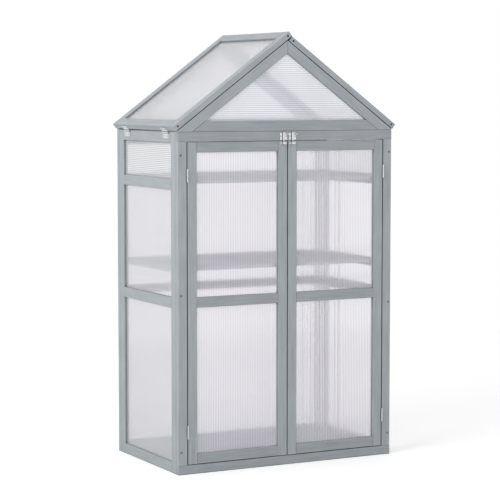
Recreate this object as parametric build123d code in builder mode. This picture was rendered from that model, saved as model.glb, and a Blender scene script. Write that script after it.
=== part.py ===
from build123d import *
from dataclasses import dataclass
from math import cos, radians, sin, tan
import os

# Cold frame greenhouse: a timber frame glazed with twin-wall sheet, with two doors at the front,
# two hinged roof lids and three slatted shelves. Millimetres, +X to the right seen from the front,
# +Y towards the back, +Z up, with the origin on the floor under the middle of the whole object.

# Timber
stock_thickness = 18.0  # every frame timber, measured through the wall
edge_ease = 1.0  # flat planed along the long edges of each timber

# Front frame and doors
post_width = 30.0
sill_height = 29.0
header_height = 30.0
door_width = 350.0
door_height = 1005.0
door_side_gap = 3.0  # beside each post and between the doors
door_end_gap = 2.0  # over and under each door
door_stile_width = 32.0
door_rail_height = 32.0
door_middle_rail_low = 491.0  # underside of the middle rail, above the door's foot

# Side and back walls
body_depth = 465.0
side_stile_width = 34.0
back_stile_width = 32.0
wall_rail_height = 33.0
back_top_rail_height = 48.0
back_middle_rail_height = 27.0
middle_rail_low = 520.0  # underside of the rail, above the floor
top_light_height = 113.0  # opening between the upper rail and the top rail

# Gables and roof lids
roof_pitch = 36.1  # degrees
gable_heel = 3.5  # upright end of a rafter, over the wall's outer face
rafter_width = 32.0
gable_rail_height = 33.0
lid_stile_width = 32.0
lid_rail_width = 33.0
lid_overhang = 4.0  # underside of a lid, past the wall's outer face
lid_seat_gap = 2.2  # between a closed lid and the rafters under it
ridge_clearance = 1.0  # between the two lids where the left one laps the right

# Twin-wall sheet, let into grooves
sheet_thickness = 4.0
sheet_skin = 0.4
flute_pitch = 6.0
flute_rib = 0.4
groove_depth = 8.0
groove_side_clearance = 0.2
sheet_bite = 7.0  # how far a sheet's edge stands in its groove
tenon_length = 7.0  # stub on each rail's end, in the stile's groove
tenon_side_clearance = 0.1

# Shelves
middle_shelf_top = 647.0
lower_cleat_lift = 13.0  # lowest cleats, above the floor
upper_cleat_lift = 9.0  # upper cleats, above the underside of the rail that holds them
slat_count = 6
slat_thickness = 11.0
slat_gap = 10.0
shelf_clearance = 2.0  # round each shelf
batten_width = 20.0
batten_height = 12.0
cleat_width = 18.0
cleat_height = 9.0

# Hinges
hinge_length = 42.0
knuckle_radius = 2.6
knuckle_clearance = 0.3  # round a knuckle, and along the pin between knuckles
pin_radius = 1.3
pin_clearance = 0.05
pin_head_radius = 2.0
pin_head_height = 0.8
leaf_thickness = 1.2
door_leaf_depth = 15.0
wall_leaf_height = 16.0
lid_leaf_height = 12.0  # on the end face of the lid
door_hinge_inset = 102.0  # middle of a hinge from the door's top or foot
lid_hinge_inset = 85.0  # middle of a hinge from the lid's front or back edge
hinge_screw_inset = 8.0  # from each end of a leaf

# Bolts over the doors
bolt_offset = 16.0  # from the middle of the front
bolt_radius = 2.5
bolt_clearance = 0.08
bolt_tip_gap = 0.5  # drawn bolt, over the top of the door
bolt_stand = 3.0  # drawn bolt, above the plate's top
bolt_overrun = 1.5  # thrown bolt, past the foot of the keeper
bolt_plate_width = 26.0
bolt_plate_thickness = 1.2
bolt_plate_height = 23.0
bolt_plate_low = 1.5  # above the header's underside
bolt_barrel_wall = 1.2
bolt_backing = 0.3  # barrel metal left between the bore and the plate
knob_stem_radius = 1.2
knob_stem_length = 10.0
knob_radius = 2.2
knob_length = 6.0
knob_drop = 5.0  # knob of a drawn bolt, below the plate's top
keeper_height = 8.0
keeper_drop = 2.0  # below the door's top
keeper_wall = 1.2
keeper_clearance = 0.5
plate_screw_inset = 3.5  # from each side of a plate


@dataclass
class Screw:
    head_radius: float
    head_height: float
    shank_radius: float
    length: float
    sunk: float  # seat of the head, below the face it is driven from


# Screws
frame_screw = Screw(head_radius=3.4, head_height=2.4, shank_radius=2.0, length=36.0, sunk=4.0)
lid_screw = Screw(head_radius=3.4, head_height=2.4, shank_radius=2.0, length=50.0, sunk=4.0)
leaf_screw = Screw(head_radius=2.1, head_height=0.8, shank_radius=1.2, length=11.0, sunk=0.8)
plate_screw = Screw(head_radius=1.7, head_height=0.7, shank_radius=1.0, length=9.0, sunk=0.7)
screw_clearance = 0.05
frame_screw_inset = 42.0  # from each end of a post
middle_screw_shift = 28.0  # middle screw of a front post, up from half way on the left and down on the right
lid_screw_inset = 12.0  # from each end of a lid's stile

# Worked out from the sizes above
pitch = radians(roof_pitch)
groove_width = sheet_thickness + 2 * groove_side_clearance
tenon_thickness = groove_width - 2 * tenon_side_clearance
door_foot = sill_height + door_end_gap
door_top = door_foot + door_height
header_low = door_top + door_end_gap
wall_height = header_low + header_height
upper_rail_low = wall_height - 2 * wall_rail_height - top_light_height
half_width = post_width + door_width + 1.5 * door_side_gap
inner_half_width = half_width - stock_thickness
bolt_axis_out = bolt_plate_thickness + bolt_backing + bolt_radius + bolt_clearance
front_reach = bolt_axis_out + bolt_radius + keeper_clearance + keeper_wall
front_y = (front_reach - body_depth) / 2
back_y = front_y + body_depth
inner_front_y = front_y + stock_thickness
inner_back_y = back_y - stock_thickness
inner_depth = inner_back_y - inner_front_y
middle_y = (front_y + back_y) / 2

on_base = (Align.CENTER, Align.CENTER, Align.MIN)
hanging = (Align.CENTER, Align.CENTER, Align.MAX)
from_corner = (Align.MIN, Align.MIN, Align.CENTER)
sides = {"left": -1, "right": 1}


def save(piece, name):
    piece.part.label = name
    export_step(piece.part, f"parts/{name}.step")


def eased_bar(width, height):
    # cross-section of a timber with its four corners planed off
    x, y = width / 2, height / 2
    corners = []
    for sx, sy in ((1, -1), (1, 1), (-1, 1), (-1, -1)):
        across = (sx * (x - edge_ease), sy * y)
        upright = (sx * x, sy * (y - edge_ease))
        corners += [across, upright] if sx == -sy else [upright, across]
    Polygon(*corners)


def seat(x, y, z, outward):
    return Plane(origin=(x, y, z), z_dir=outward)


def drive(screw, seats):
    with Locations(*seats):
        with Locations((0, 0, -screw.sunk)):
            Cylinder(screw.head_radius, screw.head_height, align=on_base)
            Cylinder(screw.shank_radius, screw.length, align=hanging)


def drill(screw, seats):
    bore = screw.shank_radius + screw_clearance
    head_bore = screw.head_radius + screw_clearance
    with Locations(*seats):
        CounterBoreHole(bore, head_bore, screw.sunk, screw.sunk + screw.length + screw_clearance)


def twin_wall(section, centre, span, length):
    # a sheet with a row of closed flutes, drawn across the flutes and carried along them
    cells = int((span - flute_rib) / flute_pitch)
    with BuildSketch(section) as profile:
        with Locations(centre):
            Rectangle(span, sheet_thickness)
            with GridLocations(flute_pitch, 0, cells, 1):
                Rectangle(flute_pitch - flute_rib, sheet_thickness - 2 * sheet_skin, mode=Mode.SUBTRACT)
    extrude(profile.sketch, amount=length)


def framed_panel(name, pane_name, face, width, height, stile_width, rails, flutes, drilled):
    # Two grooved stiles, rails with stub tenons between them and a sheet in each opening.
    # The face is the panel's middle plane, seen from outside, with its origin at the lower left.
    # Rails are (underside, height) from the foot up; flutes run "up" or "across" in each opening.
    stile_section = Plane(face.origin, x_dir=face.x_dir, z_dir=face.y_dir)
    rail_section = Plane(face.origin, x_dir=face.y_dir, z_dir=face.x_dir)
    clear_width = width - 2 * stile_width

    with BuildPart() as stiles:
        with BuildSketch(stile_section):
            for edge, inward in ((0, 1), (width, -1)):
                with Locations((edge + inward * stile_width / 2, 0)):
                    eased_bar(stile_width, stock_thickness)
                with Locations((edge + inward * (stile_width - groove_depth / 2), 0)):
                    Rectangle(groove_depth, groove_width, mode=Mode.SUBTRACT)
        extrude(amount=height)
        for screw, seats in drilled:
            drill(screw, seats)
    save(stiles, f"{name}_stiles")

    with BuildPart() as cross_rails:
        with BuildSketch(rail_section.offset(stile_width)):
            for low, rail_height in rails:
                with Locations((low + rail_height / 2, 0)):
                    eased_bar(rail_height, stock_thickness)
        extrude(amount=clear_width)
        with BuildSketch(rail_section.offset(stile_width - tenon_length)):
            for low, rail_height in rails:
                with Locations((low + rail_height / 2, 0)):
                    Rectangle(rail_height, tenon_thickness)
        extrude(amount=clear_width + 2 * tenon_length)
        with BuildSketch(rail_section.offset(stile_width - tenon_length)):
            for (low, rail_height), (next_low, _) in zip(rails, rails[1:]):
                for edge, upward in ((low + rail_height, -1), (next_low, 1)):
                    with Locations((edge + upward * groove_depth / 2, 0)):
                        Rectangle(groove_depth, groove_width)
        extrude(amount=clear_width + 2 * tenon_length, mode=Mode.SUBTRACT)
        for screw, seats in drilled:
            drill(screw, seats)
    save(cross_rails, f"{name}_rails")

    with BuildPart() as panes:
        for run, (low, rail_height), (next_low, _) in zip(flutes, rails, rails[1:]):
            foot = low + rail_height - sheet_bite
            tall = next_low + sheet_bite - foot
            wide = clear_width + 2 * sheet_bite
            if run == "up":
                twin_wall(stile_section.offset(foot), (width / 2, 0), wide, tall)
            else:
                start = stile_width - sheet_bite
                twin_wall(rail_section.offset(start), (foot + tall / 2, 0), tall, wide)
    save(panes, f"{name}_{pane_name}")


def knuckle_span(index):
    # middle and length of one of the three knuckles along a hinge
    pitch_along = hinge_length / 3
    return (index - 1) * pitch_along, pitch_along - knuckle_clearance


def hinge_leaf(pins, plate_near, plate_far, reach, knuckles):
    # A flat plate rolled round the pin at some of its knuckles. Each pin plane has Z along the pin
    # and X the way the plate runs; the plate lies between two distances from the pin along Y.
    start = knuckle_radius + knuckle_clearance
    thick = plate_far - plate_near
    with Locations(*pins):
        with Locations((start, plate_near, 0)):
            Box(reach - start, thick, hinge_length, align=from_corner)
        for index in knuckles:
            middle, length = knuckle_span(index)
            with Locations((0, plate_near, middle)):
                Box(start, thick, length, align=from_corner)
            with Locations((0, 0, middle)):
                Cylinder(knuckle_radius, length)
        Cylinder(pin_radius + pin_clearance, hinge_length, mode=Mode.SUBTRACT)


def hinge_pins(pins):
    with Locations(*pins):
        Cylinder(pin_radius, hinge_length)
        for end, align in ((hinge_length / 2, on_base), (-hinge_length / 2, hanging)):
            with Locations((0, 0, end)):
                Cylinder(pin_head_radius, pin_head_height, align=align)


# Hinge screws, along a leaf from its middle
leaf_screw_steps = (hinge_screw_inset - hinge_length / 2, hinge_length / 2 - hinge_screw_inset)

# Door hinges: vertical pins just in front of the gap beside each post
leaf_gap = door_side_gap / 2 - leaf_thickness
door_pin_y = front_y - knuckle_radius
door_leaf_screw_y = front_y + (door_leaf_depth + knuckle_clearance) / 2
door_hinge_heights = (door_foot + door_hinge_inset, door_top - door_hinge_inset)
door_pins = {}
post_leaf_seats = {}
door_leaf_seats = {}
for side, sign in sides.items():
    pin_x = sign * (half_width - post_width - door_side_gap / 2)
    door_pins[side] = [
        Plane((pin_x, door_pin_y, z), x_dir=(0, 1, 0), z_dir=(0, 0, -sign)) for z in door_hinge_heights
    ]
    screw_heights = [z + way for z in door_hinge_heights for way in leaf_screw_steps]
    post_leaf_seats[side] = [
        seat(pin_x + sign * leaf_gap, door_leaf_screw_y, z, (-sign, 0, 0)) for z in screw_heights
    ]
    door_leaf_seats[side] = [
        seat(pin_x - sign * leaf_gap, door_leaf_screw_y, z, (sign, 0, 0)) for z in screw_heights
    ]

# Lid hinges: pins along the eaves, below the lower edge of each lid's end face
lid_run = (half_width + lid_overhang) / cos(pitch)
lid_foot_z = wall_height + gable_heel + lid_seat_gap / cos(pitch) - lid_overhang * tan(pitch)
lid_pin_drop = (lid_overhang + knuckle_radius * cos(pitch) - knuckle_radius) / sin(pitch)
lid_hinge_places = (front_y + lid_hinge_inset, back_y - lid_hinge_inset)
leaf_screw_places = [y + way for y in lid_hinge_places for way in leaf_screw_steps]
lid_up = {side: Vector(-sign * cos(pitch), 0, sin(pitch)) for side, sign in sides.items()}
lid_out = {side: Vector(sign * sin(pitch), 0, cos(pitch)) for side, sign in sides.items()}
lid_foot = {side: Vector(sign * (half_width + lid_overhang), 0, lid_foot_z) for side, sign in sides.items()}
wall_leaf_pins = {}
lid_leaf_pins = {}
wall_leaf_seats = {}
lid_leaf_seats = {}
for side, sign in sides.items():
    up, out = lid_up[side], lid_out[side]
    pin = lid_foot[side] - up * knuckle_radius - out * lid_pin_drop
    along = (0, -sign, 0)
    pin_places = [(pin.X, y, pin.Z) for y in lid_hinge_places]
    wall_leaf_pins[side] = [Plane(place, x_dir=(0, 0, -1), z_dir=along) for place in pin_places]
    lid_leaf_pins[side] = [Plane(place, x_dir=out, z_dir=along) for place in pin_places]
    wall_leaf_x = sign * (half_width + leaf_thickness)
    wall_leaf_z = pin.Z - knuckle_radius - wall_leaf_height / 2
    wall_leaf_seats[side] = [seat(wall_leaf_x, y, wall_leaf_z, (sign, 0, 0)) for y in leaf_screw_places]
    leaf_face = lid_foot[side] - up * leaf_thickness + out * (lid_leaf_height / 2)
    lid_leaf_seats[side] = [seat(leaf_face.X, y, leaf_face.Z, -up) for y in leaf_screw_places]

# Screws through the front posts and the back stiles into the edges of the side walls
side_screw_x = half_width - stock_thickness / 2
low_screw_z = sill_height + frame_screw_inset
middle_screw_z = (sill_height + header_low) / 2
high_screw_z = header_low - frame_screw_inset
front_seats = {
    side: [
        seat(sign * side_screw_x, front_y, z, (0, -1, 0))
        for z in (low_screw_z, middle_screw_z - sign * middle_screw_shift, high_screw_z)
    ]
    for side, sign in sides.items()
}
back_seats = {
    side: [
        seat(sign * side_screw_x, back_y, z, (0, 1, 0))
        for z in (low_screw_z, middle_screw_z, high_screw_z)
    ]
    for side, sign in sides.items()
}

# Bolts, drawn up clear of the doors
bolt_x = {side: sign * bolt_offset for side, sign in sides.items()}
bolt_y = front_y - bolt_axis_out
bolt_plate_z = header_low + bolt_plate_low + bolt_plate_height / 2
bolt_plate_top = bolt_plate_z + bolt_plate_height / 2
bolt_tip_z = door_top + bolt_tip_gap
bolt_length = bolt_plate_top + bolt_stand - bolt_tip_z
bolt_travel = bolt_tip_gap + keeper_drop + keeper_height + bolt_overrun
knob_z = bolt_plate_top - knob_drop
keeper_z = door_top - keeper_drop - keeper_height / 2
plate_screw_steps = (plate_screw_inset - bolt_plate_width / 2, bolt_plate_width / 2 - plate_screw_inset)
housing_seats = [
    seat(x + way, front_y - bolt_plate_thickness, bolt_plate_z, (0, -1, 0))
    for x in bolt_x.values()
    for way in plate_screw_steps
]
keeper_seats = {
    side: [
        seat(x + way, front_y - bolt_plate_thickness, keeper_z, (0, -1, 0))
        for way in plate_screw_steps
    ]
    for side, x in bolt_x.items()
}

# Front frame: sill and header run the full width, posts stand between them
with BuildPart() as sill:
    with BuildSketch(Plane.YZ.offset(-half_width)):
        with Locations((front_y + stock_thickness / 2, sill_height / 2)):
            eased_bar(stock_thickness, sill_height)
    extrude(amount=2 * half_width)
save(sill, "sill")

with BuildPart() as header:
    with BuildSketch(Plane.YZ.offset(-half_width)):
        with Locations((front_y + stock_thickness / 2, header_low + header_height / 2)):
            eased_bar(stock_thickness, header_height)
    extrude(amount=2 * half_width)
    drill(plate_screw, housing_seats)
save(header, "header")

for side, sign in sides.items():
    with BuildPart() as post:
        with BuildSketch(Plane.XY.offset(sill_height)):
            with Locations((sign * (half_width - post_width / 2), front_y + stock_thickness / 2)):
                eased_bar(post_width, stock_thickness)
        extrude(amount=header_low - sill_height)
        drill(frame_screw, front_seats[side])
        drill(leaf_screw, post_leaf_seats[side])
    save(post, f"{side}_post")

# Walls: the side walls stand between the front frame and the back wall
wall_rails = [
    (0, wall_rail_height),
    (middle_rail_low, wall_rail_height),
    (upper_rail_low, wall_rail_height),
    (wall_height - wall_rail_height, wall_rail_height),
]
back_rails = [
    (0, wall_rail_height),
    (middle_rail_low + wall_rail_height - back_middle_rail_height, back_middle_rail_height),
    (upper_rail_low, wall_rail_height),
    (wall_height - back_top_rail_height, back_top_rail_height),
]
for side, sign in sides.items():
    framed_panel(
        f"{side}_wall",
        "panes",
        Plane(
            (sign * side_screw_x, inner_back_y if sign < 0 else inner_front_y, 0),
            x_dir=(0, sign, 0),
            z_dir=(sign, 0, 0),
        ),
        inner_depth,
        wall_height,
        side_stile_width,
        wall_rails,
        ("up", "up", "across"),
        [(frame_screw, front_seats[side] + back_seats[side]), (leaf_screw, wall_leaf_seats[side])],
    )

framed_panel(
    "back_wall",
    "panes",
    Plane((half_width, back_y - stock_thickness / 2, 0), x_dir=(-1, 0, 0), z_dir=(0, 1, 0)),
    2 * half_width,
    wall_height,
    back_stile_width,
    back_rails,
    ("up", "up", "across"),
    [(frame_screw, back_seats["left"] + back_seats["right"])],
)

# Doors
door_rails = [
    (0, door_rail_height),
    (door_middle_rail_low, door_rail_height),
    (door_height - door_rail_height, door_rail_height),
]
door_left_edge = {"left": -door_side_gap / 2 - door_width, "right": door_side_gap / 2}
for side in sides:
    framed_panel(
        f"{side}_door",
        "panes",
        Plane(
            (door_left_edge[side], front_y + stock_thickness / 2, door_foot),
            x_dir=(1, 0, 0),
            z_dir=(0, -1, 0),
        ),
        door_width,
        door_height,
        door_stile_width,
        door_rails,
        ("up", "up"),
        [(leaf_screw, door_leaf_seats[side]), (plate_screw, keeper_seats[side])],
    )

# Roof lids: the left one runs on past the meeting line and laps the square end of the right one
lid_length = {
    "left": lid_run + stock_thickness / sin(2 * pitch),
    "right": lid_run - stock_thickness / tan(2 * pitch) - ridge_clearance,
}
lid_screw_seats = {}
for side, sign in sides.items():
    up, out = lid_up[side], lid_out[side]
    middle = lid_foot[side] + out * (stock_thickness / 2)
    length = lid_length[side]
    lid_screw_seats[side] = []
    for y, outward in ((front_y, -1), (back_y, 1)):
        for along in (lid_screw_inset, length - lid_screw_inset):
            place = middle + up * along
            lid_screw_seats[side].append(seat(place.X, y, place.Z, (0, outward, 0)))
    framed_panel(
        f"{side}_lid",
        "pane",
        Plane((middle.X, back_y if sign < 0 else front_y, middle.Z), x_dir=(0, sign, 0), z_dir=out),
        body_depth,
        length,
        lid_stile_width,
        [(0, lid_rail_width), (length - lid_rail_width, lid_rail_width)],
        ("up",),
        [(lid_screw, lid_screw_seats[side]), (leaf_screw, lid_leaf_seats[side])],
    )


# Gables: two rafters that meet at a plumb cut, a rail between their feet and a triangular sheet
def slope_z(x, inset):
    # height of a line parallel to a rafter's top edge, that far in from it
    return wall_height + gable_heel + (half_width - abs(x)) * tan(pitch) - inset / cos(pitch)


def slope_x(z, inset):
    return half_width - (z - wall_height - gable_heel + inset / cos(pitch)) / tan(pitch)


def gable_triangle(grow):
    foot = wall_height + gable_rail_height - grow
    half_base = slope_x(foot, rafter_width - grow)
    return [(-half_base, foot), (half_base, foot), (0, slope_z(0, rafter_width - grow))]


rail_top = wall_height + gable_rail_height
rail_outline = [
    (-slope_x(wall_height, rafter_width), wall_height),
    (slope_x(wall_height, rafter_width), wall_height),
    (slope_x(rail_top, rafter_width), rail_top),
    (-slope_x(rail_top, rafter_width), rail_top),
]


def gable_timber(outline, gable_back_y, name):
    with BuildPart() as timber:
        with BuildSketch(Plane.XZ.offset(-gable_back_y)):
            Polygon(*outline)
        extrude(amount=stock_thickness)
        chamfer(timber.faces().filter_by(Axis.Y).edges(), edge_ease)
        groove_back_y = gable_back_y - (stock_thickness - groove_width) / 2
        with BuildSketch(Plane.XZ.offset(-groove_back_y)):
            Polygon(*gable_triangle(groove_depth))
        extrude(amount=groove_width, mode=Mode.SUBTRACT)
    save(timber, name)


for end, gable_back_y in (("front", inner_front_y), ("back", back_y)):
    for side, sign in sides.items():
        rafter_outline = [
            (sign * half_width, wall_height),
            (sign * half_width, wall_height + gable_heel),
            (0, slope_z(0, 0)),
            (0, slope_z(0, rafter_width)),
            (sign * slope_x(wall_height, rafter_width), wall_height),
        ]
        gable_timber(rafter_outline, gable_back_y, f"{end}_gable_{side}_rafter")
    gable_timber(rail_outline, gable_back_y, f"{end}_gable_rail")

    sheet_corners = gable_triangle(sheet_bite)
    sheet_foot, sheet_peak = sheet_corners[0][1], sheet_corners[2][1]
    half_base = sheet_corners[1][0]
    sheet_y = gable_back_y - stock_thickness / 2
    with BuildPart() as gable_pane:
        twin_wall(
            Plane((-half_base, sheet_y, sheet_foot), x_dir=(0, 0, 1), z_dir=(1, 0, 0)),
            ((sheet_peak - sheet_foot) / 2, 0),
            sheet_peak - sheet_foot,
            2 * half_base,
        )
        with BuildSketch(Plane.XZ.offset(-sheet_y - sheet_thickness / 2)):
            Polygon(*sheet_corners)
        extrude(amount=sheet_thickness, mode=Mode.INTERSECT)
    save(gable_pane, f"{end}_gable_pane")

# Shelves: slats across the width, tied by two battens underneath and resting on cleats at the sides
slat_length = 2 * (inner_half_width - shelf_clearance)
slat_width = (inner_depth - 2 * shelf_clearance - (slat_count - 1) * slat_gap) / slat_count
shelf_depth = inner_depth - 2 * shelf_clearance
batten_x = inner_half_width - cleat_width - shelf_clearance - batten_width / 2
cleat_and_slat = cleat_height + slat_thickness
shelf_tops = {
    "lower": lower_cleat_lift + cleat_and_slat,
    "middle": middle_shelf_top,
    "upper": upper_rail_low + upper_cleat_lift + cleat_and_slat,
}
for shelf, top in shelf_tops.items():
    with BuildPart() as slats:
        with BuildSketch(Plane.YZ.offset(-slat_length / 2)):
            with Locations((middle_y, top - slat_thickness / 2)):
                with GridLocations(slat_width + slat_gap, 0, slat_count, 1):
                    eased_bar(slat_width, slat_thickness)
        extrude(amount=slat_length)
    save(slats, f"{shelf}_shelf_slats")

    with BuildPart() as battens:
        with Locations(*[(sign * batten_x, middle_y, top - slat_thickness) for sign in sides.values()]):
            Box(batten_width, shelf_depth, batten_height, align=hanging)
    save(battens, f"{shelf}_shelf_battens")

with BuildPart() as shelf_cleats:
    for top in shelf_tops.values():
        for sign in sides.values():
            with Locations((sign * (inner_half_width - cleat_width / 2), middle_y, top - slat_thickness)):
                Box(cleat_width, shelf_depth, cleat_height, align=hanging)
save(shelf_cleats, "shelf_cleats")

# Door hinges
door_plate = (leaf_gap, leaf_gap + leaf_thickness)
door_reach = knuckle_radius + door_leaf_depth
with BuildPart() as post_leaves:
    for side in sides:
        hinge_leaf(door_pins[side], *door_plate, door_reach, (0, 2))
        drill(leaf_screw, post_leaf_seats[side])
save(post_leaves, "door_hinge_post_leaves")

for side in sides:
    with BuildPart() as door_leaves:
        hinge_leaf(door_pins[side], -door_plate[1], -door_plate[0], door_reach, (1,))
        drill(leaf_screw, door_leaf_seats[side])
    save(door_leaves, f"{side}_door_hinge_leaves")

with BuildPart() as door_hinge_pins:
    hinge_pins(door_pins["left"] + door_pins["right"])
save(door_hinge_pins, "door_hinge_pins")

# Lid hinges
with BuildPart() as wall_leaves:
    for side in sides:
        hinge_leaf(
            wall_leaf_pins[side],
            -knuckle_radius,
            leaf_thickness - knuckle_radius,
            knuckle_radius + wall_leaf_height,
            (0, 2),
        )
        drill(leaf_screw, wall_leaf_seats[side])
save(wall_leaves, "lid_hinge_wall_leaves")

for side in sides:
    with BuildPart() as lid_leaves:
        hinge_leaf(
            lid_leaf_pins[side],
            knuckle_radius - leaf_thickness,
            knuckle_radius,
            lid_pin_drop + lid_leaf_height,
            (1,),
        )
        drill(leaf_screw, lid_leaf_seats[side])
    save(lid_leaves, f"{side}_lid_hinge_leaves")

with BuildPart() as lid_hinge_pins:
    hinge_pins(wall_leaf_pins["left"] + wall_leaf_pins["right"])
save(lid_hinge_pins, "lid_hinge_pins")

# Bolt housings on the header: a plate with a barrel, slotted on the right for the knob
bolt_bore = bolt_radius + bolt_clearance
knob_slot = knob_stem_radius + bolt_clearance
with BuildPart() as bolt_housings:
    for x in bolt_x.values():
        with Locations((x, front_y - bolt_plate_thickness / 2, bolt_plate_z)):
            Box(bolt_plate_width, bolt_plate_thickness, bolt_plate_height)
        with Locations((x, bolt_y, bolt_plate_z)):
            Cylinder(bolt_bore + bolt_barrel_wall, bolt_plate_height)
            Cylinder(bolt_bore, bolt_plate_height, mode=Mode.SUBTRACT)
        with Locations((x, bolt_y, knob_z - bolt_travel / 2)):
            Box(
                bolt_plate_width,
                2 * knob_slot,
                bolt_travel + 2 * knob_slot,
                align=(Align.MIN, Align.CENTER, Align.CENTER),
                mode=Mode.SUBTRACT,
            )
    drill(plate_screw, housing_seats)
save(bolt_housings, "bolt_housings")

for side, x in bolt_x.items():
    with BuildPart() as bolt:
        with Locations((x, bolt_y, bolt_tip_z)):
            Cylinder(bolt_radius, bolt_length, align=on_base)
        with Locations(Plane((x, bolt_y, knob_z), z_dir=(1, 0, 0))):
            Cylinder(knob_stem_radius, knob_stem_length, align=on_base)
            with Locations((0, 0, knob_stem_length)):
                Cylinder(knob_radius, knob_length, align=on_base)
    save(bolt, f"{side}_bolt")

    # keeper on the door: a plate with a square staple for the bolt's tip
    keeper_inside = 2 * (bolt_radius + keeper_clearance)
    with BuildPart() as keeper:
        with Locations((x, front_y, keeper_z)):
            staple_align = (Align.CENTER, Align.MAX, Align.CENTER)
            Box(bolt_plate_width, bolt_plate_thickness, keeper_height, align=staple_align)
            Box(keeper_inside + 2 * keeper_wall, front_reach, keeper_height, align=staple_align)
        with Locations((x, front_y - bolt_plate_thickness, keeper_z)):
            staple_depth = front_reach - keeper_wall - bolt_plate_thickness
            Box(keeper_inside, staple_depth, keeper_height, align=staple_align, mode=Mode.SUBTRACT)
        drill(plate_screw, keeper_seats[side])
    save(keeper, f"{side}_keeper")

# Screws, grouped by what they move with
with BuildPart() as frame_screws:
    for side in sides:
        drive(frame_screw, front_seats[side] + back_seats[side])
        drive(leaf_screw, post_leaf_seats[side] + wall_leaf_seats[side])
    drive(plate_screw, housing_seats)
save(frame_screws, "frame_screws")

for side in sides:
    with BuildPart() as door_screws:
        drive(leaf_screw, door_leaf_seats[side])
        drive(plate_screw, keeper_seats[side])
    save(door_screws, f"{side}_door_screws")

    with BuildPart() as lid_screws:
        drive(lid_screw, lid_screw_seats[side])
        drive(leaf_screw, lid_leaf_seats[side])
    save(lid_screws, f"{side}_lid_screws")
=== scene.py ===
from math import cos, pi, radians, sin

import bpy
import numpy as np
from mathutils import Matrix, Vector


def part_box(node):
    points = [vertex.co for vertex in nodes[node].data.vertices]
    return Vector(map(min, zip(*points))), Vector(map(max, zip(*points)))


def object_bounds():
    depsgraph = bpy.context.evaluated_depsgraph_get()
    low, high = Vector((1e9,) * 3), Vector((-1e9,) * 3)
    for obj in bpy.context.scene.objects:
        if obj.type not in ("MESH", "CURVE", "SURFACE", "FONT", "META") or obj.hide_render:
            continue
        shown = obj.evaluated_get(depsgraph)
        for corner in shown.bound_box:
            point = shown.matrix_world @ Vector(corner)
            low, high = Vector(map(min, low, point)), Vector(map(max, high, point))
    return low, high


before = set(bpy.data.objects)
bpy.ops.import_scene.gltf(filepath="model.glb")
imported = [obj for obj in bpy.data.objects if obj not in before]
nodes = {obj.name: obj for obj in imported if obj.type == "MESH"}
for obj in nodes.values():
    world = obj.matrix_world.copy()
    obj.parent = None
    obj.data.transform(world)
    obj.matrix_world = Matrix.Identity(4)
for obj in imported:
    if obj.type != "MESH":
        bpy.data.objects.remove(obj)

# Cold frame greenhouse: grey painted softwood, clear twin-wall sheet and bright zinc hardware.
# Metres, in the part's own frame: +Z up, the doors face -Y.
mm = 0.001
roofPitch = radians(36.1)
noiseSpan = (0.3, 0.7)  # most values of a noise texture lie between these
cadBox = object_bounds()
print("frame loaded:", len(nodes), "pieces")


def linear(hexText, alpha=1.0):
    # sRGB hex to the linear colour that shader sockets take
    srgb = np.array([int(hexText[i:i + 2], 16) for i in (1, 3, 5)]) / 255
    flat = np.where(srgb <= 0.04045, srgb / 12.92, ((srgb + 0.055) / 1.055) ** 2.4)
    return (*flat.tolist(), alpha)


def addNode(tree, kind, settings=None, links=None):
    # one shader node: settings are its own options or its sockets' values, links feed its sockets
    made = tree.nodes.new(kind)
    for key, value in (settings or {}).items():
        if isinstance(key, int) or key in made.inputs:
            made.inputs[key].default_value = value
        else:
            setattr(made, key, value)
    for key, source in (links or {}).items():
        tree.links.new(source, made.inputs[key])
    return made


def newMaterial(name):
    mat = bpy.data.materials.new(name)
    mat.use_nodes = True
    mat.node_tree.nodes.clear()
    return mat, mat.node_tree


def finishMaterial(tree, shader):
    addNode(tree, "ShaderNodeOutputMaterial", {}, {"Surface": shader.outputs[0]})


# Planed softwood under two thin coats of matt grey garden paint. The eye gets an even cool grey with the
# grain standing through it as faint long streaks, brush marks along each timber, and a soft dull sheen,
# with painted shade laid into the joints and grooves and a little over the rails.
paint = {
    "light": "#acb1b6",
    "dark": "#959a9f",
    # painted shade: the rails' paint is darkened a little, since they look darker in the light than the
    # stiles
    "rail": "#f4f4f4",  # over the rails, which show a little darker: their grain lies across the light
    "grainWidth": 2.6 * mm,  # between the streaks, drawn a little coarse so that they show
    "grainRun": 26.0,  # how many times longer a streak is than wide
    "grainHeight": 0.10 * mm,
    "grainBump": 0.6,
    "patchSize": 70 * mm,  # uneven coats
    "patchShare": 0.35,
    "tone": (0.42, 0.93),  # grain and patches together, from the dark paint to the light
    "roughness": (0.50, 0.66),
    "ior": 1.47,
    # painted shade: the joint colour is laid where the ambient occlusion below finds a place shut in
    "joint": "#26292c",  # dirt and shadow in the joints and grooves
    "jointReach": 5 * mm,
    "jointOpen": (0.36, 0.88),  # how open a place is, from all joint to all paint
}


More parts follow.
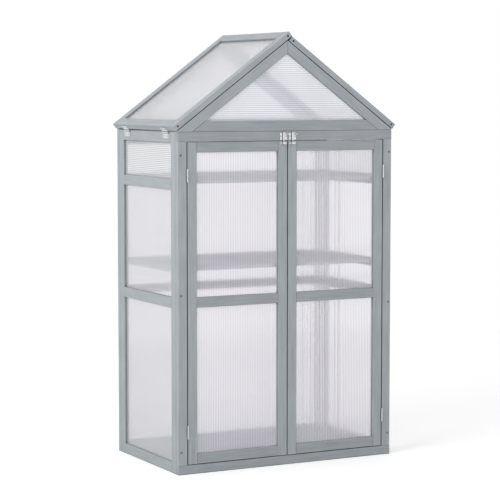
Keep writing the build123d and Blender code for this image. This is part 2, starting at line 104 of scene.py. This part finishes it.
def paintedSoftwood(name, grainTurn, paintedShade="#ffffff"):
    # grainTurn turns the pattern so that its own Z runs along the timber; the last colour is multiplied
    # into the paint as painted shade
    mat, tree = newMaterial(name)
    place = addNode(tree, "ShaderNodeTexCoord")
    turned = addNode(tree, "ShaderNodeMapping", {"vector_type": "TEXTURE", "Rotation": grainTurn},
                     {"Vector": place.outputs["Object"]})
    stretched = addNode(tree, "ShaderNodeMapping", {"Scale": (1, 1, 1 / paint["grainRun"])},
                        {"Vector": turned.outputs[0]})
    # one wave of the noise holds a streak and a gap
    grain = addNode(tree, "ShaderNodeTexNoise",
                    {"Scale": 0.5 / paint["grainWidth"], "Detail": 3.0, "Roughness": 0.6},
                    {"Vector": stretched.outputs[0]})
    patch = addNode(tree, "ShaderNodeTexNoise", {"Scale": 1 / paint["patchSize"], "Detail": 2.0},
                    {"Vector": turned.outputs[0]})
    both = addNode(tree, "ShaderNodeMath", {"operation": "MULTIPLY_ADD", 1: paint["patchShare"]},
                   {0: patch.outputs["Fac"], 2: grain.outputs["Fac"]})
    tone = addNode(tree, "ShaderNodeMapRange", {"From Min": paint["tone"][0], "From Max": paint["tone"][1]},
                   {"Value": both.outputs[0]})
    coat = addNode(tree, "ShaderNodeMix",
                   {"data_type": "RGBA", 6: linear(paint["dark"]), 7: linear(paint["light"])},
                   {"Factor": tone.outputs[0]})
    # painted shade: the coat is multiplied by the last colour, which darkens the rails
    colour = addNode(tree, "ShaderNodeMix",
                     {"data_type": "RGBA", "blend_type": "MULTIPLY", 0: 1.0, 7: linear(paintedShade)},
                     {6: coat.outputs[2]})
    # painted shade: the paint darkens towards the joint colour in joints, grooves and corners
    shut = addNode(tree, "ShaderNodeAmbientOcclusion", {"samples": 8, "Distance": paint["jointReach"]})
    clear = addNode(tree, "ShaderNodeMapRange",
                    {"From Min": paint["jointOpen"][0], "From Max": paint["jointOpen"][1]},
                    {"Value": shut.outputs["AO"]})
    withPaintedShade = addNode(tree, "ShaderNodeMix", {"data_type": "RGBA", 6: linear(paint["joint"])},
                     {"Factor": clear.outputs[0], 7: colour.outputs[2]})
    dull = addNode(tree, "ShaderNodeMapRange",
                   {"From Min": noiseSpan[0], "From Max": noiseSpan[1],
                    "To Min": paint["roughness"][0], "To Max": paint["roughness"][1]},
                   {"Value": grain.outputs["Fac"]})
    bump = addNode(tree, "ShaderNodeBump",
                   {"Strength": paint["grainBump"], "Distance": paint["grainHeight"]},
                   {"Height": grain.outputs["Fac"]})
    shader = addNode(tree, "ShaderNodeBsdfPrincipled", {"IOR": paint["ior"]},
                     {"Base Color": withPaintedShade.outputs[2], "Roughness": dull.outputs[0],
                      "Normal": bump.outputs[0]})
    finishMaterial(tree, shader)
    return mat


# Clear extruded polycarbonate, two thin skins joined by ribs. The eye gets a milky sheet ruled with fine
# flute lines. Each rib and the thicker skin beside it spread the view sideways, so that what runs along the
# flutes blurs into streaks and what runs across them stays plain, and a faint gloss lies on top.
sheet = {
    "ior": 1.58,
    "roughness": 0.08,
    "lampPass": 0.99,  # share of lamp light that any face lets by, straight or scattered
    "pitch": 6.0 * mm,  # from flute to flute
    "rib": 0.4 * mm,
    "ribHalf": 0.25 * mm,  # half a rib and a little over, to take in its sides
    "ribTint": "#a8aec2",  # the sheet over a rib
    "ribHaze": (0.04, 0.14),  # how milky a rib's sides are, from rib to rib
    "ribRoughness": 0.5,
    "skinDepth": 1.9 * mm,  # outer faces lie further than this from the middle of the sheet
    "shoulder": 1.7 * mm,  # how far the skin thickens out from a rib
    "lensDraw": (0.2, 1.8),  # how much the thickening varies from rib to rib
    # tint: the sheet itself, milk: its haze, which scatters a little violet, haze: how much of that the
    # weather side shows between ribs and at a rib, lens: how far the skin thickens at a rib, shade: how
    # much a rib shows its tint. Upright sheets are in the doors, back ones in the back wall, clear ones in
    # the right wall and lid, slant ones in the left wall and lid, and level ones in the gables. These are
    # lighter and darker copies of one sheet as painted light and shade: the back ones have a paler milk
    # for the light from behind, the clear ones less haze to look lighter, and the slant ones a darker tint.
    "upright": {"tint": "#ffffff", "milk": "#f7f2ff", "haze": (0.31, 0.52),
                "lens": 0.16 * mm, "shade": 0.04},
    "back": {"tint": "#ffffff", "milk": "#fbf8ff", "haze": (0.29, 0.38),
             "lens": 0.18 * mm, "shade": 0.04},
    "clear": {"tint": "#ffffff", "milk": "#f9f6ff", "haze": (0.14, 0.24),
              "lens": 0.03 * mm, "shade": 0.04},
    "slant": {"tint": "#ecebf0", "milk": "#f0f0f3", "haze": (0.29, 0.42),
              "lens": 0.04 * mm, "shade": 0.3},
    "level": {"tint": "#ffffff", "milk": "#eef0f8", "haze": (0.55, 1.00),
              "lens": 0.02 * mm, "shade": 0.1},
    # the top sheet of a wall, whose flutes lie level; the side walls' one has a darker milk as painted
    # shade
    "sideLight": {"tint": "#f8f8f6", "milk": "#d4d5d9", "haze": (0.40, 1.00),
                  "height": 127 * mm, "shade": 0.1},
    "backLight": {"tint": "#ffffff", "milk": "#fbf8ff", "haze": (0.29, 0.38),
                  "height": 112 * mm, "shade": 0.1},
}


def twinWallPolycarbonate(name, make, facing, centre, across, ribAt,
                          light=None, lightFrom=0.0, lightRibAt=0.0):
    # make is the kind of sheet, facing points out to the weather, across is the axis that crosses the
    # flutes, ribAt a place on it where a rib stands. A wall has a top light of its own kind above
    # lightFrom, with level flutes and a rib at lightRibAt.
    mat, tree = newMaterial(name)
    place = addNode(tree, "ShaderNodeTexCoord")
    axes = addNode(tree, "ShaderNodeSeparateXYZ", {}, {0: place.outputs["Object"]})
    along = addNode(tree, "ShaderNodeMath", {"operation": "SUBTRACT", 1: ribAt}, {0: axes.outputs[across]})
    if light:
        rise = addNode(tree, "ShaderNodeMath", {"operation": "SUBTRACT", 1: lightRibAt},
                       {0: axes.outputs["Z"]})
        top = addNode(tree, "ShaderNodeMath", {"operation": "GREATER_THAN", 1: lightFrom},
                      {0: axes.outputs["Z"]})
        along = addNode(tree, "ShaderNodeMix", {"data_type": "FLOAT"},
                        {0: top.outputs[0], 2: along.outputs[0], 3: rise.outputs[0]})
    fromRib = addNode(tree, "ShaderNodeMath", {"operation": "PINGPONG", 1: sheet["pitch"] / 2},
                      {0: along.outputs[0]})
    # each rib has a number of its own, and its place in a draw between 0 and 1
    count = addNode(tree, "ShaderNodeMath", {"operation": "DIVIDE", 1: sheet["pitch"]},
                    {0: along.outputs[0]})
    number = addNode(tree, "ShaderNodeMath", {"operation": "ROUND"}, {0: count.outputs[0]})
    draw = addNode(tree, "ShaderNodeTexWhiteNoise", {"noise_dimensions": "1D"}, {"W": number.outputs[0]})
    # skin height beside a rib = lens x (1 - distance / shoulder) squared x the rib's own share
    near = addNode(tree, "ShaderNodeMapRange",
                   {"From Max": sheet["shoulder"], "To Min": 1.0, "To Max": 0.0},
                   {"Value": fromRib.outputs[0]})
    swell = addNode(tree, "ShaderNodeMath", {"operation": "POWER", 1: 2.0}, {0: near.outputs[0]})
    own = addNode(tree, "ShaderNodeMapRange",
                  {"To Min": sheet["lensDraw"][0], "To Max": sheet["lensDraw"][1]},
                  {"Value": draw.outputs["Value"]})
    height = addNode(tree, "ShaderNodeMath", {"operation": "MULTIPLY"},
                     {0: swell.outputs[0], 1: own.outputs[0]})
    lens = addNode(tree, "ShaderNodeBump", {"Strength": 1.0, "Distance": make["lens"]},
                   {"Height": height.outputs[0]})
    line = addNode(tree, "ShaderNodeMath", {"operation": "MULTIPLY", 1: make["shade"]},
                   {0: swell.outputs[0]})
    hazy = addNode(tree, "ShaderNodeMapRange", {"To Min": make["haze"][0], "To Max": make["haze"][1]},
                   {"Value": swell.outputs[0]})
    tint = addNode(tree, "ShaderNodeMix",
                   {"data_type": "RGBA", 6: linear(make["tint"]), 7: linear(sheet["ribTint"])},
                   {"Factor": line.outputs[0]})
    glass = addNode(tree, "ShaderNodeBsdfPrincipled",
                    {"Transmission Weight": 1.0, "IOR": sheet["ior"], "Roughness": sheet["roughness"]},
                    {"Base Color": tint.outputs[2], "Normal": lens.outputs[0]})
    milk = addNode(tree, "ShaderNodeBsdfDiffuse", {"Color": linear(make["milk"])})
    if light:
        for below, above, socket in ((make["shade"], light["shade"], line.inputs[1]),
                                     (make["haze"][0], light["haze"][0], hazy.inputs["To Min"]),
                                     (make["haze"][1], light["haze"][1], hazy.inputs["To Max"])):
            either = addNode(tree, "ShaderNodeMapRange", {"To Min": below, "To Max": above},
                             {"Value": top.outputs[0]})
            tree.links.new(either.outputs[0], socket)
        for key, socket in (("tint", tint.inputs[6]), ("milk", milk.inputs["Color"])):
            either = addNode(tree, "ShaderNodeMix",
                             {"data_type": "RGBA", 6: linear(make[key]), 7: linear(light[key])},
                             {"Factor": top.outputs[0]})
            tree.links.new(either.outputs[2], socket)
    # the haze lies on the weather side only
    off = addNode(tree, "ShaderNodeVectorMath", {"operation": "SUBTRACT", 1: centre},
                  {0: place.outputs["Object"]})
    depth = addNode(tree, "ShaderNodeVectorMath", {"operation": "DOT_PRODUCT", 1: facing},
                    {0: off.outputs[0]})
    weather = addNode(tree, "ShaderNodeMath", {"operation": "GREATER_THAN", 1: sheet["skinDepth"]},
                      {0: depth.outputs["Value"]})
    film = addNode(tree, "ShaderNodeMath", {"operation": "MULTIPLY"},
                   {0: hazy.outputs[0], 1: weather.outputs[0]})
    skin = addNode(tree, "ShaderNodeMixShader", {},
                   {0: film.outputs[0], 1: glass.outputs[0], 2: milk.outputs[0]})
    # inside the sheet only the ribs show, each a little more or less milky than the next
    rib = addNode(tree, "ShaderNodeMath", {"operation": "LESS_THAN", 1: sheet["ribHalf"]},
                  {0: fromRib.outputs[0]})
    side = addNode(tree, "ShaderNodeMapRange",
                   {"To Min": sheet["ribHaze"][0], "To Max": sheet["ribHaze"][1]},
                   {"Value": draw.outputs["Value"]})
    share = addNode(tree, "ShaderNodeMath", {"operation": "MULTIPLY"},
                    {0: rib.outputs[0], 1: side.outputs[0]})
    inside = addNode(tree, "ShaderNodeBsdfPrincipled",
                     {"Base Color": linear(make["milk"]), "Roughness": sheet["ribRoughness"]},
                     {"Alpha": share.outputs[0]})
    far = addNode(tree, "ShaderNodeMath", {"operation": "ABSOLUTE"}, {0: depth.outputs["Value"]})
    outer = addNode(tree, "ShaderNodeMath", {"operation": "GREATER_THAN", 1: sheet["skinDepth"]},
                    {0: far.outputs[0]})
    seen = addNode(tree, "ShaderNodeMixShader", {},
                   {0: outer.outputs[0], 1: inside.outputs[0], 2: skin.outputs[0]})
    passed = sheet["lampPass"]
    lampWay = addNode(tree, "ShaderNodeBsdfTransparent", {"Color": (passed, passed, passed, 1)})
    path = addNode(tree, "ShaderNodeLightPath")
    lamps = addNode(tree, "ShaderNodeMath", {"operation": "MAXIMUM"},
                    {0: path.outputs["Is Shadow Ray"], 1: path.outputs["Is Diffuse Ray"]})
    shader = addNode(tree, "ShaderNodeMixShader", {},
                     {0: lamps.outputs[0], 1: seen.outputs[0], 2: lampWay.outputs[0]})
    finishMaterial(tree, shader)
    return mat


def ribPlace(low, high):
    # a sheet's flutes are set out from its middle, so a rib or the middle of a flute stands there
    cells = int((high - low - sheet["rib"]) / sheet["pitch"])
    return (low + high) / 2 + (cells % 2) * sheet["pitch"] / 2


def fluted(name):
    # gable flutes lie level; the rest stand upright or run up the slope of the roof
    low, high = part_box(name)
    centre = (low + high) / 2
    title = "clear_twin_wall_polycarbonate_" + name
    ribs = [ribPlace(*span) for span in zip(low, high)]
    if "gable" in name:
        facing = (0, -1, 0) if "front" in name else (0, 1, 0)
        return twinWallPolycarbonate(title, sheet["level"], facing, centre, "Z", ribs[2])
    if "lid" in name:
        left = "left" in name
        facing = (-sin(roofPitch) if left else sin(roofPitch), 0, cos(roofPitch))
        # painted shade on the left lid's sheet, painted light on the right one's
        kind = "slant" if left else "clear"
        return twinWallPolycarbonate(title, sheet[kind], facing, centre, "Y", ribs[1])
    if "door" in name:
        return twinWallPolycarbonate(title, sheet["upright"], (0, -1, 0), centre, "X", ribs[0])
    if "back" in name:
        kind, facing, axis, light = "back", (0, 1, 0), 0, sheet["backLight"]
    elif "left" in name:
        kind, facing, axis, light = "slant", (-1, 0, 0), 1, sheet["sideLight"]
    else:
        kind, facing, axis, light = "clear", (1, 0, 0), 1, sheet["sideLight"]
    lightFrom = high[2] - light["height"]
    return twinWallPolycarbonate(title, sheet[kind], facing, centre, "XYZ"[axis], ribs[axis],
                                 light, lightFrom, ribPlace(lightFrom, high[2]))


# Bright zinc plate on pressed steel. The eye gets a pale cool metal, slightly clouded, with soft
# reflections, and painted shade in its crevices.
zinc = {"light": "#e6e7e8", "dark": "#c2c5c8", "cloud": 3.5 * mm, "roughness": (0.24, 0.42),
        "creviceShade": "#4a4844", "metallic": 1.0}
# Dull brown oxide on the screws, made darker as painted shade for their sunk holes: a dark spot in each
# hole.
oxideAndShade = {"light": "#6a6058", "dark": "#453e39", "cloud": 1.5 * mm, "roughness": (0.45, 0.6),
         "creviceShade": "#221f1c", "metallic": 1.0}
# The same under smears of paint, which got on the heads in the frame. The eye gets a fainter, matt spot.
smeared = {"light": "#988f85", "dark": "#7d746a", "cloud": 1.5 * mm, "roughness": (0.5, 0.65),
           "creviceShade": "#5e5750", "metallic": 0.0}
creviceShade = {"reach": 3 * mm, "open": (0.3, 0.9)}  # how open a place is, from all crevice to all plate


def platedSteel(name, plate):
    mat, tree = newMaterial(name)
    place = addNode(tree, "ShaderNodeTexCoord")
    cloud = addNode(tree, "ShaderNodeTexNoise", {"Scale": 1 / plate["cloud"], "Detail": 3.0},
                    {"Vector": place.outputs["Object"]})
    colour = addNode(tree, "ShaderNodeMix",
                     {"data_type": "RGBA", 6: linear(plate["dark"]), 7: linear(plate["light"])},
                     {"Factor": cloud.outputs["Fac"]})
    # painted shade: the plate darkens to its crevice colour where ambient occlusion finds a place shut in
    shut = addNode(tree, "ShaderNodeAmbientOcclusion", {"samples": 8, "Distance": creviceShade["reach"]})
    clear = addNode(tree, "ShaderNodeMapRange",
                    {"From Min": creviceShade["open"][0], "From Max": creviceShade["open"][1]},
                    {"Value": shut.outputs["AO"]})
    withPaintedShade = addNode(tree, "ShaderNodeMix", {"data_type": "RGBA", 6: linear(plate["creviceShade"])},
                     {"Factor": clear.outputs[0], 7: colour.outputs[2]})
    dull = addNode(tree, "ShaderNodeMapRange",
                   {"From Min": noiseSpan[0], "From Max": noiseSpan[1],
                    "To Min": plate["roughness"][0], "To Max": plate["roughness"][1]},
                   {"Value": cloud.outputs["Fac"]})
    shader = addNode(tree, "ShaderNodeBsdfPrincipled", {"Metallic": plate["metallic"]},
                     {"Base Color": withPaintedShade.outputs[2], "Roughness": dull.outputs[0]})
    finishMaterial(tree, shader)
    return mat


timber = {
    "upright": paintedSoftwood("grey_painted_softwood_upright", (0, 0, 0)),
    # the rails take the same paint with a little painted shade
    "across": paintedSoftwood("grey_painted_softwood_across", (0, pi / 2, 0), paint["rail"]),
    "deep": paintedSoftwood("grey_painted_softwood_deep", (pi / 2, 0, 0)),
    "leftSlope": paintedSoftwood("grey_painted_softwood_left_slope", (0, pi / 2 - roofPitch, 0)),
    "rightSlope": paintedSoftwood("grey_painted_softwood_right_slope", (0, roofPitch - pi / 2, 0)),
}
zincSteel = platedSteel("bright_zinc_plated_steel", zinc)
oxideAndShadeSteel = platedSteel("brown_oxide_and_painted_shade_steel", oxideAndShade)
smearedSteel = platedSteel("paint_smeared_steel", smeared)


def grainOf(name):
    # which way each timber runs
    if "rafter" in name or "lid_stiles" in name:
        return "leftSlope" if "left" in name else "rightSlope"
    if "lid_rails" in name or "battens" in name or "cleats" in name:
        return "deep"
    if name in ("left_wall_rails", "right_wall_rails"):
        return "deep"
    if "stiles" in name or "post" in name:
        return "upright"
    return "across"


for name, obj in nodes.items():
    if "pane" in name:
        finish = fluted(name)
    elif "screws" in name:
        # the screws other than the frame's are darkened as painted shade for their holes
        finish = smearedSteel if name == "frame_screws" else oxideAndShadeSteel
    elif any(word in name for word in ("hinge", "bolt", "keeper")):
        finish = zincSteel
    else:
        finish = timber[grainOf(name)]
    obj.data.materials.clear()
    obj.data.materials.append(finish)
print("finishes on", len(nodes), "pieces")

# White studio: a pale floor that keeps the shadow, a white world for what the camera, gloss and glass see
studio = {
    "floorHalf": 2.6,
    "floorColour": "#e8e8e8",
    "glow": 0.34,  # whitens the floor where the camera sees it
    "glowThrough": 0.14,  # and where glass and metal show it
    "ambient": 0.77,
    "key": {"from": (-3.6, -1.3, 2.9), "size": 2.4, "level": 0.40},
    "fill": {"from": (1.5, -6.0, 2.6), "size": 4.0, "level": 0.03},
}


def paleFloor():
    half = studio["floorHalf"]
    corners = [(-half, -half, 0), (half, -half, 0), (half, half, 0), (-half, half, 0)]
    mesh = bpy.data.meshes.new("floor")
    mesh.from_pydata(corners, [], [(0, 1, 2, 3)])
    floor = bpy.data.objects.new("floor", mesh)
    bpy.context.scene.collection.objects.link(floor)
    mat, tree = newMaterial("pale_studio_floor")
    path = addNode(tree, "ShaderNodeLightPath")
    matt = addNode(tree, "ShaderNodeBsdfDiffuse", {"Color": linear(studio["floorColour"])})
    through = addNode(tree, "ShaderNodeMath", {"operation": "MAXIMUM"},
                      {0: path.outputs["Is Glossy Ray"], 1: path.outputs["Is Transmission Ray"]})
    partly = addNode(tree, "ShaderNodeMath", {"operation": "MULTIPLY", 1: studio["glowThrough"]},
                     {0: through.outputs[0]})
    wholly = addNode(tree, "ShaderNodeMath", {"operation": "MULTIPLY_ADD", 1: studio["glow"]},
                     {0: path.outputs["Is Camera Ray"], 2: partly.outputs[0]})
    glow = addNode(tree, "ShaderNodeEmission", {"Color": (1, 1, 1, 1)}, {"Strength": wholly.outputs[0]})
    lit = addNode(tree, "ShaderNodeAddShader", {}, {0: matt.outputs[0], 1: glow.outputs[0]})
    finishMaterial(tree, lit)
    mesh.materials.append(mat)


def whiteWorld():
    world = bpy.data.worlds.new("white_studio")
    world.use_nodes = True
    tree = world.node_tree
    tree.nodes.clear()
    path = addNode(tree, "ShaderNodeLightPath")
    seen = addNode(tree, "ShaderNodeMath", {"operation": "MAXIMUM"},
                   {0: path.outputs["Is Camera Ray"], 1: path.outputs["Is Glossy Ray"]})
    passed = addNode(tree, "ShaderNodeMath", {"operation": "MAXIMUM"},
                     {0: seen.outputs[0], 1: path.outputs["Is Transmission Ray"]})
    level = addNode(tree, "ShaderNodeMapRange", {"To Min": studio["ambient"], "To Max": 1.0},
                    {"Value": passed.outputs[0]})
    background = addNode(tree, "ShaderNodeBackground", {"Color": (1, 1, 1, 1)},
                         {"Strength": level.outputs[0]})
    addNode(tree, "ShaderNodeOutputWorld", {}, {"Surface": background.outputs[0]})
    bpy.context.scene.world = world


def softBox(name, setup, target):
    # level is what a white matt face turned to the lamp would show: power = level x pi^2 x distance^2
    lamp = bpy.data.lights.new(name, "AREA")
    lamp.shape = "SQUARE"
    lamp.size = setup["size"]
    place = Vector(setup["from"])
    lamp.energy = setup["level"] * pi ** 2 * (target - place).length_squared
    obj = bpy.data.objects.new(name, lamp)
    obj.location = place
    obj.rotation_euler = (target - place).to_track_quat("-Z", "Y").to_euler()
    bpy.context.scene.collection.objects.link(obj)


middle = (cadBox[0] + cadBox[1]) / 2
paleFloor()
whiteWorld()
softBox("key_soft_box", studio["key"], middle)
softBox("fill_soft_box", studio["fill"], middle)
print("studio lit")

# Camera: where the photograph was taken from, in the photograph's square frame
shot = {
    "framePixels": 500,
    "focalPixels": 1872.5,
    "sensor": 36.0,  # millimetres
    "from": (-2.850, -5.4292, 1.1943),
    "yaw": 27.569,
    "pitch": -4.861,
    "clipEnd": 100.0,
    "seeThrough": 48,  # faces that a look through ribbed sheets may pass
}
eye = bpy.data.cameras.new("camera")
eye.sensor_width = shot["sensor"]
eye.lens = shot["sensor"] * shot["focalPixels"] / shot["framePixels"]
eye.clip_end = shot["clipEnd"]
yaw, tilt = radians(shot["yaw"]), radians(shot["pitch"])
ahead = Vector((sin(yaw) * cos(tilt), cos(yaw) * cos(tilt), sin(tilt)))
camera = bpy.data.objects.new("camera", eye)
camera.location = shot["from"]
camera.rotation_euler = ahead.to_track_quat("-Z", "Y").to_euler()
bpy.context.scene.collection.objects.link(camera)
bpy.context.scene.camera = camera
bpy.context.scene.view_settings.view_transform = "Standard"
bpy.context.scene.cycles.transparent_max_bounces = shot["seeThrough"]
print("camera set")
